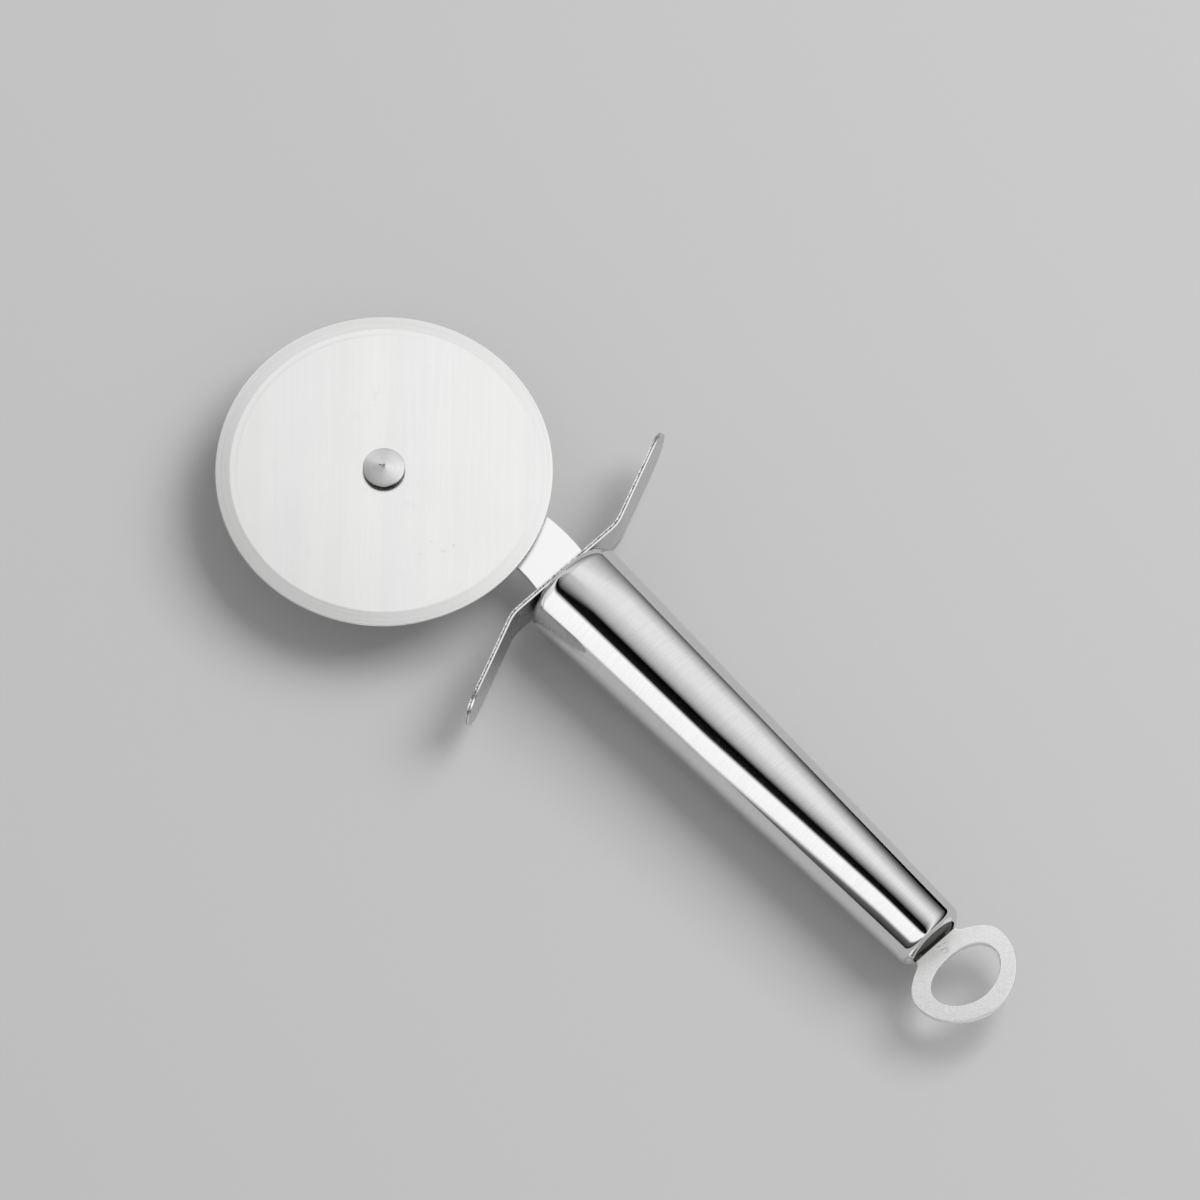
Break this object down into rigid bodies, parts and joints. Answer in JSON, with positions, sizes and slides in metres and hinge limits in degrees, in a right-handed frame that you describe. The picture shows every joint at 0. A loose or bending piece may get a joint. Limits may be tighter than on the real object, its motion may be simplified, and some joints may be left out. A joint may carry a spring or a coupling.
{
  "type": "pizza wheel cutter",
  "caption": "All-steel pizza wheel with a free-turning round blade, a curved flat arm, a bent finger guard, a hollow tapered handle and a flat hanging ring.",
  "frame": {"origin": "under the middle of the whole cutter's bounding box, level with the lowest line of the handle", "axes": "+X along the handle from the blade to the hanging ring, +Z square to the blade on the side of the rivet's cone, +Y towards the side that the handle is set off to"},
  "size_m": [0.1924, 0.0774, 0.0211],
  "materials": {
    "blade": "fine ground stainless steel",
    "rivet": "turned stainless steel",
    "washer": "plain stainless steel",
    "arm": "satin stainless steel sheet",
    "guard": "satin stainless steel sheet with a sheared edge",
    "handle": "satin stainless steel, brushed round the handle",
    "cap": "dull unpolished stainless steel",
    "ring": "satin stainless steel sheet"
  },
  "bodies": {
    "handle": {"axle_rivet": "rivet", "spacer_washer": "washer", "wheel_arm": "arm", "finger_guard": "guard", "handle_shell": "handle", "end_cap": "cap", "hanging_ring": "ring"},
    "wheel": {"cutting_wheel": "blade"}
  },
  "joints": [
    {"name": "wheel_spin", "type": "hinge", "parent": "handle", "child": "wheel", "pos_m": [-0.06365, -0.00623, 0.0127], "axis": [0, 0, 1], "continuous": true}
  ]
}
